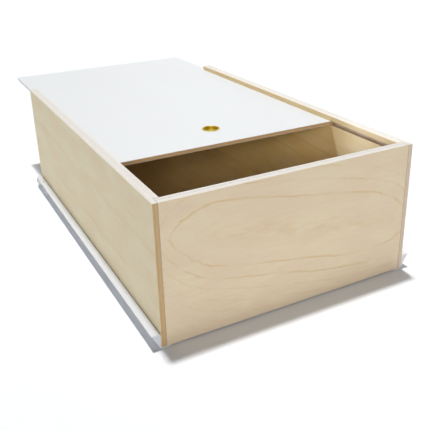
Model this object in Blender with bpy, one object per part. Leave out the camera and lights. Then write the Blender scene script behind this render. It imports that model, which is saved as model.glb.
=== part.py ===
"""Under-bed box: a plywood drawer box with a lid that slides out at the back, on roller runners.

Run it with blender --background --python part.py, or from Blender's text editor.
Units are metres and +Z is up. The box stands on Z = 0 on its runners and its front faces -Y.
The lid is drawn slid part of the way back, which is its rest position.

Most meshes are drawn in box coordinates: x from the left side's outer face, y from the front
face and z from the underside of the plywood. The empty "box_corner" carries them to their place.
"""

import math

import bmesh
import bpy
from mathutils import Matrix, Vector

MM = 0.001

# The plywood carcass.
BOX_WIDTH = 398 * MM
BOX_DEPTH = 630 * MM
BOX_HEIGHT = 200 * MM
SHEET = 15 * MM
TONGUE = 7 * MM
GAP = 0.3 * MM
ARRIS = 0.5 * MM

# The bottom panel and its groove.
BOTTOM_SHEET = 9 * MM
BOTTOM_RAISE = 12 * MM
GROOVE_DEPTH = 7.5 * MM

# The sliding lid and its groove.
LID_SHEET = 6 * MM
LID_RAISE = 185.5 * MM
LID_SIDE_GAP = 0.4 * MM
LID_END_GAP = 0.5 * MM
LID_OPENING = 161 * MM
LID_ARRIS = 0.3 * MM

# The finger pull: a shallow brass cup let into the lid.
PULL_FROM_EDGE = 69 * MM
PULL_RIM_RADIUS = 14.5 * MM
PULL_RIM_HEIGHT = 0.9 * MM
PULL_CUP_RADIUS = 12.8 * MM
PULL_WALL = 0.7 * MM

# The runners: the drawer half of a pair of roller slides, one on each side.
STEEL = 1.5 * MM
RUNNER_START = 1 * MM
RUNNER_END = 634 * MM
FLANGE_END = 622 * MM
LEG_END = 615 * MM
LEG_REACH = 13 * MM
FLANGE_TOP = 20 * MM
RUNNER_REACH = 12.5 * MM
BEND_RADIUS = 2.2 * MM
BEND_STEPS = 4
LOCATING_HOLE_Y = 585 * MM
LOCATING_HOLE_X = 6.2 * MM
LOCATING_HOLE_RADIUS = 2.2 * MM

# The roller at the back of each runner and the axle pin it turns on.
ROLLER_Y = 626 * MM
ROLLER_Z = 9.9 * MM
ROLLER_RADIUS = 8 * MM
ROLLER_INNER = 2.6 * MM
ROLLER_OUTER = 10.6 * MM
ROLLER_RIM = 2 * MM
ROLLER_TREAD_INSET = 0.5 * MM
ROLLER_DISH = 1 * MM
ROLLER_EASE = 0.7 * MM
ROLLER_RUNNING_GAP = 0.12 * MM
PIN_RADIUS = 2.5 * MM
PIN_HEAD_RADIUS = 4.2 * MM
PIN_HEAD_INNER = 11 * MM
PIN_HEAD_OUTER = 12.3 * MM
PIN_HEAD_EDGE = 0.5 * MM
PIN_TAIL_INSET = 0.15 * MM

# The screws that fix each runner to its side panel.
SCREW_SPACING = 32 * MM
SCREW_FIRST_Y = 37 * MM
SCREW_STEPS = (0, 5, 10, 16)
SLOT_STEPS = (2.5, 7.5, 13)
SLOT_RADIUS = 2.2 * MM
SLOT_HALF_LENGTH = 2 * MM
SCREW_Z = 8 * MM
SCREW_RADIUS = 1.9 * MM
SCREW_LENGTH = 13 * MM
SCREW_TIP = 3 * MM
SCREW_HEAD_RADIUS = 3.6 * MM
SCREW_HEAD_HEIGHT = 2.2 * MM
SCREW_DOME = ((0.45, 1.0), (0.8, 0.8), (1.0, 0.5))
SCREW_SLOT_WIDTH = 0.9 * MM
SCREW_SLOT_LENGTH = 3.8 * MM
SCREW_SLOT_DEPTH = 1.1 * MM

# Places that follow from the sizes above.
LID_GROOVE_HEIGHT = LID_SHEET + 2 * GAP
BOTTOM_GROOVE_HEIGHT = BOTTOM_SHEET + 2 * GAP
LID_CLOSED_Y = SHEET - GROOVE_DEPTH + LID_END_GAP
LID_LENGTH = BOX_DEPTH - LID_CLOSED_Y
LID_FRONT_Y = LID_CLOSED_Y + LID_OPENING
LID_UNDERSIDE = LID_RAISE + GAP
BACK_TOP = LID_RAISE - GAP
WEB_OUTER = GAP + STEEL
BOX_CORNER = Vector((-BOX_WIDTH / 2, -(LID_FRONT_Y + LID_LENGTH) / 2, STEEL + GAP))
PAST = 2 * MM

# How finely round pieces are drawn.
PULL_SEGMENTS = 48
ROLLER_SEGMENTS = 32
SCREW_SEGMENTS = 20
SHARP_ANGLE = math.radians(35)

COLOURS = {
    "birch": ((0.66, 0.53, 0.36), 0.55, 0.0),
    "white_board": ((0.84, 0.85, 0.86), 0.4, 0.0),
    "brass": ((0.62, 0.42, 0.09), 0.25, 1.0),
    "white_steel": ((0.80, 0.81, 0.84), 0.35, 0.0),
    "nylon": ((0.78, 0.78, 0.75), 0.5, 0.0),
    "zinc": ((0.60, 0.60, 0.58), 0.3, 1.0),
}


def clear_scene():
    """Removes what the scene holds."""
    for item in list(bpy.data.objects):
        bpy.data.objects.remove(item)


def material(name):
    """Returns the named Principled material, made on first use."""
    found = bpy.data.materials.get(name)
    if found:
        return found
    colour, roughness, metallic = COLOURS[name]
    made = bpy.data.materials.new(name)
    made.use_nodes = True
    shader = made.node_tree.nodes["Principled BSDF"]
    shader.inputs["Base Color"].default_value = (*colour, 1.0)
    shader.inputs["Roughness"].default_value = roughness
    shader.inputs["Metallic"].default_value = metallic
    return made


def empty(name, location):
    """An empty that carries the pieces parented to it."""
    made = bpy.data.objects.new(name, None)
    made.location = location
    bpy.context.scene.collection.objects.link(made)
    return made


def add_object(name, shape, carrier):
    """Turns a bmesh into an object with outward faces, parented to carrier."""
    bmesh.ops.recalc_face_normals(shape, faces=shape.faces)
    mesh = bpy.data.meshes.new(name)
    shape.to_mesh(mesh)
    shape.free()
    made = bpy.data.objects.new(name, mesh)
    made.parent = carrier
    bpy.context.scene.collection.objects.link(made)
    return made


def block(name, low, high, carrier, arris=0.0):
    """A rectangular block between two corners, with its edges eased by arris."""
    shape = bmesh.new()
    size = Vector(high) - Vector(low)
    middle = (Vector(high) + Vector(low)) / 2
    placed = Matrix.Translation(middle) @ Matrix.Diagonal((*size, 1.0))
    bmesh.ops.create_cube(shape, size=1.0, matrix=placed)
    if arris:
        bmesh.ops.bevel(shape, geom=shape.edges[:], offset=arris, segments=1, affect="EDGES")
    return add_object(name, shape, carrier)


def prism(name, outline, start, end, carrier):
    """An outline of (x, z) points carried along Y from start to end."""
    shape = bmesh.new()
    first = [shape.verts.new((x, start, z)) for x, z in outline]
    last = [shape.verts.new((x, end, z)) for x, z in outline]
    shape.faces.new(first)
    shape.faces.new(reversed(last))
    count = len(outline)
    for i in range(count):
        j = (i + 1) % count
        shape.faces.new((first[j], first[i], last[i], last[j]))
    return add_object(name, shape, carrier)


def turned(name, profile, direction, centre, segments, carrier, closed=False):
    """A profile of (distance along direction, radius) points turned about direction through centre.

    A closed profile goes round a bore. Any other one begins and ends at radius 0.
    """
    shape = bmesh.new()
    turn = Vector((0, 0, 1)).rotation_difference(Vector(direction)).to_matrix()
    rings = []
    for along, radius in profile:
        steps = segments if radius > 0 else 1
        ring = []
        for i in range(steps):
            angle = 2 * math.pi * i / segments
            point = Vector((radius * math.cos(angle), radius * math.sin(angle), along))
            ring.append(shape.verts.new(turn @ point + Vector(centre)))
        rings.append(ring)
    pairs = list(zip(rings, rings[1:]))
    if closed:
        pairs.append((rings[-1], rings[0]))
    for ring, following in pairs:
        for i in range(segments):
            j = (i + 1) % segments
            corners = [ring[i % len(ring)], ring[j % len(ring)]]
            corners += [following[j % len(following)], following[i % len(following)]]
            shape.faces.new(list(dict.fromkeys(corners)))
    return add_object(name, shape, carrier)


def rod(name, radius, start, end, centre, direction, carrier, segments=SCREW_SEGMENTS):
    """A plain cylinder along direction, from start to end as measured from centre."""
    profile = [(start, 0), (start, radius), (end, radius), (end, 0)]
    return turned(name, profile, direction, centre, segments, carrier)


def combine(target, tools, operation):
    """Applies one exact Boolean for each tool to target, and removes the tools."""
    for tool in tools:
        step = target.modifiers.new(tool.name, "BOOLEAN")
        step.operation = operation
        step.solver = "EXACT"
        step.object = tool
    depsgraph = bpy.context.evaluated_depsgraph_get()
    result = bpy.data.meshes.new_from_object(target.evaluated_get(depsgraph))
    target.modifiers.clear()
    target.data = result
    for tool in tools:
        bpy.data.objects.remove(tool)


def finish(item, name, smooth=False):
    """Gives a finished piece its material, and smooth shading where it is round."""
    item.data.materials.clear()
    item.data.materials.append(material(name))
    if smooth:
        item.data.shade_smooth()
        item.data.set_sharp_from_angle(angle=SHARP_ANGLE)
    return item


def mirrored(item, name, middle):
    """A mirror copy of a left-hand piece, across the plane x = middle in its own mesh."""
    shape = bmesh.new()
    shape.from_mesh(item.data)
    bmesh.ops.transform(shape, matrix=Matrix.Diagonal((-1, 1, 1, 1)), verts=shape.verts)
    bmesh.ops.translate(shape, vec=(2 * middle, 0, 0), verts=shape.verts)
    bmesh.ops.reverse_faces(shape, faces=shape.faces)
    return add_object(name, shape, item.parent)


def screw_places():
    """The distances of the runner screws from the box's front."""
    return [SCREW_FIRST_Y + SCREW_SPACING * step for step in SCREW_STEPS]


def side_panel(name, corner):
    """The left side: rebated for the front and back, grooved for the bottom and the lid."""
    panel = block(name, (0, 0, 0), (SHEET, BOX_DEPTH, BOX_HEIGHT), corner, ARRIS)
    groove_floor = SHEET - GROOVE_DEPTH
    past_x = SHEET + PAST
    past_y = BOX_DEPTH + PAST
    back_y = BOX_DEPTH - SHEET
    bottom_high = BOTTOM_RAISE + BOTTOM_GROOVE_HEIGHT
    lid_high = LID_RAISE + LID_GROOVE_HEIGHT
    bottom_low = (groove_floor, -PAST, BOTTOM_RAISE)
    lid_low = (groove_floor, -PAST, LID_RAISE)
    cuts = [
        block("front_rebate", (TONGUE, -PAST, -PAST), (past_x, SHEET, BOX_HEIGHT + PAST), corner),
        block("back_rebate", (TONGUE, back_y, -PAST), (past_x, past_y, LID_RAISE), corner),
        block("bottom_groove", bottom_low, (past_x, back_y, bottom_high), corner),
        block("lid_groove", lid_low, (past_x, past_y, lid_high), corner),
    ]
    hole_radius = SCREW_RADIUS + GAP
    hole_end = SCREW_LENGTH - STEEL
    for y in screw_places():
        mouth = (0, y, SCREW_Z)
        cuts.append(rod("pilot_hole", hole_radius, -PAST, hole_end, mouth, (1, 0, 0), corner))
    combine(panel, cuts, "DIFFERENCE")
    return finish(panel, "birch")


def front_panel(corner):
    """The front, between the sides' tongues, with a groove for the lid and one for the bottom."""
    left = TONGUE + GAP
    right = BOX_WIDTH - left
    back = SHEET - GAP
    panel = block("front_panel", (left, 0, 0), (right, back, BOX_HEIGHT), corner, ARRIS)
    groove_floor = SHEET - GROOVE_DEPTH
    cuts = []
    for name, low, height in (
        ("bottom_groove", BOTTOM_RAISE, BOTTOM_GROOVE_HEIGHT),
        ("lid_groove", LID_RAISE, LID_GROOVE_HEIGHT),
    ):
        far_corner = (BOX_WIDTH, SHEET + PAST, low + height)
        cuts.append(block(name, (0, groove_floor, low), far_corner, corner))
    combine(panel, cuts, "DIFFERENCE")
    return finish(panel, "birch")


def back_panel(corner):
    """The back, lower than the front so that the lid runs out over it."""
    left = TONGUE + GAP
    right = BOX_WIDTH - left
    front = BOX_DEPTH - SHEET + GAP
    panel = block("back_panel", (left, front, 0), (right, BOX_DEPTH, BACK_TOP), corner, ARRIS)
    groove_floor = BOX_DEPTH - SHEET + GROOVE_DEPTH
    high = BOTTOM_RAISE + BOTTOM_GROOVE_HEIGHT
    low_corner = (0, front - PAST, BOTTOM_RAISE)
    groove = block("bottom_groove", low_corner, (BOX_WIDTH, groove_floor, high), corner)
    combine(panel, [groove], "DIFFERENCE")
    return finish(panel, "birch")


def bottom_panel(corner):
    """The bottom, held in grooves on all four sides."""
    edge = SHEET - GROOVE_DEPTH + GAP
    low = BOTTOM_RAISE + GAP
    far_corner = (BOX_WIDTH - edge, BOX_DEPTH - edge, low + BOTTOM_SHEET)
    return finish(block("bottom_panel", (edge, edge, low), far_corner, corner), "birch")


def sliding_lid(carrier):
    """The lid, drawn from the middle of its front lower edge, with a hole for the finger pull."""
    half = BOX_WIDTH / 2 - (SHEET - GROOVE_DEPTH) - LID_SIDE_GAP
    lid = block("sliding_lid", (-half, 0, 0), (half, LID_LENGTH, LID_SHEET), carrier, LID_ARRIS)
    centre = (0, PULL_FROM_EDGE, 0)
    radius = PULL_CUP_RADIUS + GAP
    high = LID_SHEET + PAST
    hole = rod("pull_hole", radius, -PAST, high, centre, (0, 0, 1), carrier, PULL_SEGMENTS)
    combine(lid, [hole], "DIFFERENCE")
    return finish(lid, "white_board")


def finger_pull(carrier):
    """The brass cup: a rim on the lid, a wall down the hole and a floor level with the underside."""
    rim_under = LID_SHEET + GAP
    rim_top = LID_SHEET + PULL_RIM_HEIGHT
    inner = PULL_CUP_RADIUS - PULL_WALL
    fillet = PULL_WALL
    floor_top = PULL_WALL + LID_ARRIS
    profile = [
        (LID_ARRIS, 0),
        (LID_ARRIS, PULL_CUP_RADIUS - fillet),
        (LID_ARRIS + fillet, PULL_CUP_RADIUS),
        (rim_under, PULL_CUP_RADIUS),
        (rim_under, PULL_RIM_RADIUS),
        (rim_under + PULL_RIM_HEIGHT / 4, PULL_RIM_RADIUS),
        (rim_top, PULL_RIM_RADIUS - PULL_RIM_HEIGHT / 2),
        (rim_top, inner + fillet),
        (rim_top - fillet / 2, inner),
        (floor_top + 2 * fillet, inner),
        (floor_top + fillet / 2, inner - fillet / 2),
        (floor_top, inner - 2 * fillet),
        (floor_top, 0),
    ]
    centre = (0, PULL_FROM_EDGE, 0)
    cup = turned("finger_pull", profile, (0, 0, 1), centre, PULL_SEGMENTS, carrier)
    return finish(cup, "brass", smooth=True)


def bend(middle, start_angle, radius):
    """The points of a quarter bend about middle, from start_angle anticlockwise."""
    points = []
    for i in range(BEND_STEPS + 1):
        angle = math.radians(start_angle + 90 * i / BEND_STEPS)
        points.append((middle[0] + radius * math.cos(angle), middle[1] + radius * math.sin(angle)))
    return points


def runner_outline():
    """The left runner's section: a leg under the side, a web up its face and a flange outwards."""
    web_in = -GAP
    web_out = -WEB_OUTER
    leg_top = -GAP
    leg_low = -GAP - STEEL
    flange_low = FLANGE_TOP - STEEL
    inner_bend = BEND_RADIUS - STEEL
    leg_centre = (web_out + BEND_RADIUS, leg_low + BEND_RADIUS)
    flange_centre = (web_in - BEND_RADIUS, FLANGE_TOP - BEND_RADIUS)
    outline = [(LEG_REACH, leg_low), (LEG_REACH, leg_top)]
    outline += reversed(bend(leg_centre, 180, inner_bend))
    outline += bend(flange_centre, 0, BEND_RADIUS)
    outline += [(-RUNNER_REACH, FLANGE_TOP), (-RUNNER_REACH, flange_low)]
    outline += reversed(bend(flange_centre, 0, inner_bend))
    outline += bend(leg_centre, 180, BEND_RADIUS)
    return outline


def slot_cutters(y, web_middle, corner):
    """The cutters of one upright adjusting slot in the web: two round ends and the block between."""
    low = SCREW_Z - SLOT_HALF_LENGTH
    high = SCREW_Z + SLOT_HALF_LENGTH
    near = (web_middle - STEEL, y - SLOT_RADIUS, low)
    cutters = [block("slot_middle", near, (web_middle + STEEL, y + SLOT_RADIUS, high), corner)]
    for z in (low, high):
        place = (web_middle, y, z)
        cutters.append(rod("slot_end", SLOT_RADIUS, -STEEL, STEEL, place, (1, 0, 0), corner))
    return cutters


def runner(name, corner):
    """The left runner: one pressed steel section, with a sloping end plate and its holes."""
    profile = prism(name, runner_outline(), RUNNER_START, RUNNER_END, corner)
    web_middle = -GAP - STEEL / 2
    flange_middle = FLANGE_TOP - STEEL / 2
    tip = -RUNNER_REACH + STEEL / 4
    plate_low = -GAP - STEEL / 2
    plate_start = RUNNER_START + GAP
    outline = [(web_middle, plate_low), (web_middle, flange_middle), (tip, flange_middle)]
    plate = prism("end_plate", outline, plate_start, plate_start + STEEL, corner)
    combine(profile, [plate], "UNION")
    past_y = RUNNER_END + PAST
    flange_low = (-RUNNER_REACH - PAST, FLANGE_END, ROLLER_Z + ROLLER_RADIUS)
    flange_high = (PAST, past_y, 2 * FLANGE_TOP)
    leg_low = (-PAST - STEEL, LEG_END, -FLANGE_TOP)
    leg_high = (LEG_REACH + PAST, past_y, ROLLER_Z - ROLLER_RADIUS)
    hole_place = (-LOCATING_HOLE_X, LOCATING_HOLE_Y, flange_middle)
    pin_place = (web_middle, ROLLER_Y, ROLLER_Z)
    up = (0, 0, 1)
    across = (1, 0, 0)
    cuts = [
        block("flange_cut", flange_low, flange_high, corner),
        block("leg_cut", leg_low, leg_high, corner),
        rod("locating_hole", LOCATING_HOLE_RADIUS, -STEEL, STEEL, hole_place, up, corner),
        rod("pin_hole", PIN_RADIUS + GAP, -STEEL, STEEL, pin_place, across, corner),
    ]
    for y in screw_places():
        place = (web_middle, y, SCREW_Z)
        cuts.append(rod("screw_hole", SCREW_RADIUS + GAP, -STEEL, STEEL, place, across, corner))
    for step in SLOT_STEPS:
        cuts += slot_cutters(SCREW_FIRST_Y + SCREW_SPACING * step, web_middle, corner)
    combine(profile, cuts, "DIFFERENCE")
    return finish(profile, "white_steel")


def roller(name, corner):
    """The left nylon roller, drawn about its own axis, which is also its object's origin."""
    bore = PIN_RADIUS + ROLLER_RUNNING_GAP
    hub = PIN_HEAD_RADIUS
    web_radius = ROLLER_RADIUS - ROLLER_RIM
    tread_inner = ROLLER_INNER + ROLLER_TREAD_INSET
    tread_outer = ROLLER_OUTER - ROLLER_TREAD_INSET
    dish_inner = tread_inner + ROLLER_DISH
    dish_outer = tread_outer - ROLLER_DISH
    eased_radius = ROLLER_RADIUS - ROLLER_EASE
    profile = [
        (ROLLER_INNER, bore),
        (ROLLER_INNER, hub),
        (dish_inner, hub),
        (dish_inner, web_radius),
        (tread_inner, web_radius),
        (tread_inner, eased_radius),
        (tread_inner + ROLLER_EASE, ROLLER_RADIUS),
        (tread_outer - ROLLER_EASE, ROLLER_RADIUS),
        (tread_outer, eased_radius),
        (tread_outer, web_radius),
        (dish_outer, web_radius),
        (dish_outer, hub),
        (ROLLER_OUTER, hub),
        (ROLLER_OUTER, bore),
    ]
    origin = (0, 0, 0)
    wheel = turned(name, profile, (-1, 0, 0), origin, ROLLER_SEGMENTS, corner, closed=True)
    wheel.location = (0, ROLLER_Y, ROLLER_Z)
    return finish(wheel, "nylon", smooth=True)


def roller_pin(name, corner):
    """The left axle pin: staked in the web, with a head that keeps the roller on."""
    tail = GAP + PIN_TAIL_INSET
    profile = [
        (tail, 0),
        (tail, PIN_RADIUS),
        (PIN_HEAD_INNER, PIN_RADIUS),
        (PIN_HEAD_INNER, PIN_HEAD_RADIUS),
        (PIN_HEAD_INNER + PIN_HEAD_EDGE, PIN_HEAD_RADIUS),
        (PIN_HEAD_OUTER, PIN_RADIUS),
        (PIN_HEAD_OUTER, 0),
    ]
    centre = (0, ROLLER_Y, ROLLER_Z)
    pin = turned(name, profile, (-1, 0, 0), centre, ROLLER_SEGMENTS, corner)
    return finish(pin, "zinc", smooth=True)


def runner_screw(name, y, corner):
    """One left-hand pan-head screw through the web, with a cross slot in its head."""
    head_inner = WEB_OUTER + GAP
    head_outer = head_inner + SCREW_HEAD_HEIGHT
    tip = WEB_OUTER - SCREW_LENGTH
    profile = [
        (tip, 0),
        (tip + SCREW_TIP, SCREW_RADIUS),
        (head_inner, SCREW_RADIUS),
        (head_inner, SCREW_HEAD_RADIUS),
    ]
    for height, radius in SCREW_DOME:
        profile.append((head_inner + height * SCREW_HEAD_HEIGHT, radius * SCREW_HEAD_RADIUS))
    profile.append((head_outer, 0))
    screw = turned(name, profile, (-1, 0, 0), (0, y, SCREW_Z), SCREW_SEGMENTS, corner)
    slot_floor = -(head_outer - SCREW_SLOT_DEPTH)
    half_wide = SCREW_SLOT_WIDTH / 2
    half_long = SCREW_SLOT_LENGTH / 2
    slots = []
    for half_y, half_z in ((half_wide, half_long), (half_long, half_wide)):
        low = (-head_outer - PAST, y - half_y, SCREW_Z - half_z)
        slots.append(block("slot", low, (slot_floor, y + half_y, SCREW_Z + half_z), corner))
    combine(screw, slots, "DIFFERENCE")
    return finish(screw, "zinc", smooth=True)


def build():
    """Makes every piece, the left-hand ones first and the right-hand ones as their mirrors."""
    clear_scene()
    corner = empty("box_corner", BOX_CORNER)
    lid_carrier = empty("lid_slide", BOX_CORNER + Vector((BOX_WIDTH / 2, LID_FRONT_Y, LID_UNDERSIDE)))

    front_panel(corner)
    back_panel(corner)
    bottom_panel(corner)
    sliding_lid(lid_carrier)
    finger_pull(lid_carrier)

    middle = BOX_WIDTH / 2
    left_side = side_panel("left_side_panel", corner)
    finish(mirrored(left_side, "right_side_panel", middle), "birch")
    left_runner = runner("left_runner", corner)
    finish(mirrored(left_runner, "right_runner", middle), "white_steel")
    left_roller = roller("left_roller", corner)
    right_roller = finish(mirrored(left_roller, "right_roller", 0), "nylon", smooth=True)
    right_roller.location = (BOX_WIDTH, ROLLER_Y, ROLLER_Z)
    left_pin = roller_pin("left_roller_pin", corner)
    finish(mirrored(left_pin, "right_roller_pin", middle), "zinc", smooth=True)
    for number, y in enumerate(screw_places(), start=1):
        left_screw = runner_screw(f"left_runner_screw_{number}", y, corner)
        finish(mirrored(left_screw, f"right_runner_screw_{number}", middle), "zinc", smooth=True)
    bpy.context.view_layer.update()


build()
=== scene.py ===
"""The looks of the under-bed box: birch plywood, a white lid, a brass pull and white runners.

Every piece is drawn in metres in the frame's own coordinates, +Z up, with the front towards -Y.
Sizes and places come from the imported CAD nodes. What is left is named below.
"""

import math

import bmesh
import bpy
from mathutils import Matrix, Vector


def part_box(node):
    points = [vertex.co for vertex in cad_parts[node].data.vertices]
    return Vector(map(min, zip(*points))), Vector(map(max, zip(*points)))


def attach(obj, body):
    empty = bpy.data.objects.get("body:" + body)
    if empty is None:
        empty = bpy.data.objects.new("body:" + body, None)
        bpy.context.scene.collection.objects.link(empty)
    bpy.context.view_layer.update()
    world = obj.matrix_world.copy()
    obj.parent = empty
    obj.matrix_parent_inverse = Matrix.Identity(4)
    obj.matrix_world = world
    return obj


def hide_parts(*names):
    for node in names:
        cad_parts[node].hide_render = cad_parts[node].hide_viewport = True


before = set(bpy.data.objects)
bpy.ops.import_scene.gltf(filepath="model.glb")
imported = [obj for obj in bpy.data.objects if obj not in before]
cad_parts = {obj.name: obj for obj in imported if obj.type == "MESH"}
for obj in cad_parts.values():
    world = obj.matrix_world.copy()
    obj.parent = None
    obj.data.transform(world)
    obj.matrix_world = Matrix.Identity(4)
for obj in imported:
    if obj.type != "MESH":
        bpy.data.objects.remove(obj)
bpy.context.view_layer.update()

# Shapes in general: GAP is left between pieces, and a cutter reaches PAST what it cuts. Edges
# sharper than EASED_ANGLE degrees are rounded, and shading breaks at SHARP_ANGLE degrees. A
# rounding takes at most MOST_OF_EDGE of each edge beside it.
MM = 0.001
GAP = 0.3 * MM
PAST = 2 * MM
SLIVER = 0.002 * MM
CUT_SEGMENTS = 24
FINE_STEPS = 2
EASED_ANGLE = 40
SHARP_ANGLE = 35
MOST_OF_EDGE = 0.45

# Plywood: a sheet as thick as FULL_SHEET has FULL_PLIES plies. A face deeper than SKIN is cut.
FULL_SHEET = 15 * MM
FULL_PLIES = 11
FEWEST_PLIES = 5
ARRIS = 0.55 * MM
ARRIS_STEPS = 3
SKIN = 0.7 * MM
PILOT_RADIUS = 2.2 * MM
PILOT_DEPTH = 11.5 * MM

# A panel's materials, in their order, and the axis that its height runs along.
# Edges facing up or down take pale plies, partly a painted highlight of light from above.
VENEER, LIT_LEVEL_EDGE, END_EDGE, CUT = range(4)
UP = 2

# The lid: a core between two white sheets.
LID_PLIES = 5
LAMINATE = 0.5 * MM
LAMINATE_ARRIS = 0.2 * MM
LAMINATE_SEAM = 0.01 * MM
LID_HOLE_GAP = 0.3 * MM

# The finger pull.
PULL_SEGMENTS = 160
PULL_WALL = 0.7 * MM
PULL_CUP_RADIUS = 12.8 * MM
PULL_ROUNDING = 0.6 * MM

# The runners.
STEEL = 1.5 * MM
BEND_RADIUS = 2.2 * MM
BEND_STEPS = 10
STEEL_ARRIS = 0.3 * MM
FLANGE_END_GAP = 12 * MM
LEG_END_GAP = FLANGE_END_GAP + 7 * MM
LOCATING_HOLE = Vector((-6.2 * MM, 585 * MM, 0))
LOCATING_RADIUS = 2.2 * MM
HOLE_SEGMENTS = 48
SLOT_STEPS = (2.5, 7.5, 13)
SLOT_HALF_LENGTH = 2 * MM
SLOT_RADIUS = 2.2 * MM
SCREW_STEP = 32 * MM

# The rollers, their pins and the screws.
TURNED_SEGMENTS = 72
ROLLER_BORE = 2.62 * MM
ROLLER_HUB = 4.2 * MM
ROLLER_RIM = 2 * MM
ROLLER_DISH = 1.2 * MM
ROLLER_HUB_STEP = 0.5 * MM
ROLLER_ROUNDING = 0.7 * MM
PIN_RADIUS = 2.5 * MM
PIN_HEAD = 1.3 * MM
PIN_ROUNDING = 0.5 * MM
SCREWS = 4
SCREW_SHANK = 1.9 * MM
SCREW_TIP = 3 * MM
SCREW_ROUNDING = 0.6 * MM
RECESS_WIDTH = 0.9 * MM
RECESS_LENGTH = 4.0 * MM
RECESS_DEPTH = 1.2 * MM

# A screw's pan head: its height, then shares of that height and of its radius.
SCREW_HEAD = 2.2 * MM
HEAD_SIDE = 0.45
HEAD_DROP = 0.12
HEAD_SHOULDER = 0.72
HEAD_FLAT = 0.3

# The cross recess's pointed middle, as shares of the recess's width.
WELL_FLOOR = 0.6
WELL_MOUTH = 1.4

# Veneer figure: size along the grain and size across it of each kind of mark, in mm.
WANDER = (150, 45)
WIGGLE = (20, 9)
BLOTCH = (26, 8)
PATCH = (90, 25)
MOTTLE = (90, 34)
FIBRE = (14, 0.45)
FLECK = (3.5, 0.3)
STREAK = (60, 2.6)

# Growth lines: how straight a loop's sides and how blunt its tips are, how the loops crowd
# outwards, how many lie inside the heart's outline, and how many mm they wander to each side.
SIDE_SHAPE = 5.0
TIP_SHAPE = 1.3
LOOP_GROWTH = 1.5
LOOPS = 1.5
WANDER_BY = 6

# Ramps of the figure: from one value to another, and where four numbers stand, the results
# there. A line darkens slowly on the way to the next and ends sharply. It wiggles by more mm
# near the tips, and it is faint inside the heart and far from it. Blotches fill the middle.
LINE_DARKENS = (0.33, 0.49)
LINE_ENDS = (0.50, 0.56, 1.0, 0.0)
WIGGLE_GROWS = (0.55, 0.9, 2.2, 7.0)
FAINT_INSIDE = (0.5, 0.9, 0.15, 1.0)
FAINT_FAR_OFF = (1.25, 2.0, 1.0, 0.35)
PATCH_STRENGTH = (0.35, 0.62, 0.15, 1.0)
BLOTCH_EDGE = (0.40, 0.64)
BLOTCH_REACH = (0.05, 0.45, 0.40, 0.0)
MOTTLE_EDGE = (0.33, 0.67)
FLECK_EDGE = (0.70, 0.80)

# Where the growth lines loop round, on each panel:
# middle along the grain, middle across it, half length, half height, all in mm, and rise.
LEFT_HEART = (0, 310, 900, 170, 0.03)
RIGHT_HEART = (-60, 50, 470, 66, 0.04)
FRONT_HEART = (14, 118, 195, 49, -0.175)
BACK_HEART = (60, 60, 260, 55, 0.08)
BOTTOM_HEART = (0, 40, 500, 110, 0.05)

# Veneer colours: a pale and a warm one for each kind of face, and the lines' own.
FRONT_VENEER = ((0.755, 0.655, 0.455), (0.740, 0.600, 0.425))
# The left side's colours are paler and yellower: painted light on that face.
LIT_LEFT_VENEER = ((0.790, 0.700, 0.480), (0.770, 0.645, 0.420))
# The right side's colours are deeper and warmer: painted shade inside the box.
SHADED_RIGHT_VENEER = ((0.760, 0.620, 0.375), (0.735, 0.560, 0.300))
# The bottom's colours are deeper and warmer: painted shade inside the box.
SHADED_BOTTOM_VENEER = ((0.800, 0.630, 0.385), (0.770, 0.570, 0.320))
VENEER_LINE = (0.655, 0.460, 0.210)

# Ply edges, whose plies differ in tone, and routed wood.
# The pale plies: the birch's own colour, made paler still by painted light from above.
PLY_PALE_AND_LIT = (0.820, 0.790, 0.740)
PLY_GREY = (0.680, 0.645, 0.600)
PLY_GLUE = (0.480, 0.400, 0.340)
PLY_TONE = 0.34
PLY_TONE_STEP = 1.37
GLUE_EDGE = (0.03, 0.09, 1.0, 0.0)
GLUE_SHOWS = 0.55
STRIP_BROWN = (0.560, 0.380, 0.180)
STRIP_GREY = (0.530, 0.440, 0.365)
ROUTED_PALE = (0.600, 0.460, 0.320)
ROUTED_BURNT = (0.420, 0.290, 0.180)
LID_CORE = (0.780, 0.560, 0.320)
LID_CORE_DARK = (0.660, 0.460, 0.260)

# The other materials: the colours that each one's patches go between, and its marks.
LAMINATE_WHITE = ((0.800, 0.820, 0.834), (0.792, 0.808, 0.820))
LAMINATE_SCUFF = (0.60, 0.60, 0.60)
BRASS = ((0.880, 0.680, 0.130), (0.640, 0.500, 0.090))
PAINT = ((0.720, 0.735, 0.765), (0.690, 0.705, 0.740))
PAINT_RUB = (0.50, 0.50, 0.52)
NYLON = ((0.800, 0.790, 0.745), (0.700, 0.690, 0.650))
ZINC = ((0.640, 0.650, 0.660), (0.600, 0.570, 0.490))

# The stage.
FLOOR_HALF = 9.0
FLOOR_PAPER = (0.920, 0.938, 0.972)
AIR_COLOUR = (1.0, 1.0, 1.0, 1.0)
AIR_LIGHT = 0.115

# Suns: name, direction towards the sun, strength, softness in degrees.
SUNS = (
    ("overhead", (0.015, 0.165, 1.0), 2.67, 4),
    ("rear_fill", (1.0, 0.9, 0.22), 0.9, 60),
    ("front_fill", (-0.82, -1.22, 0.16), 1.51, 60),
)

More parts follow.
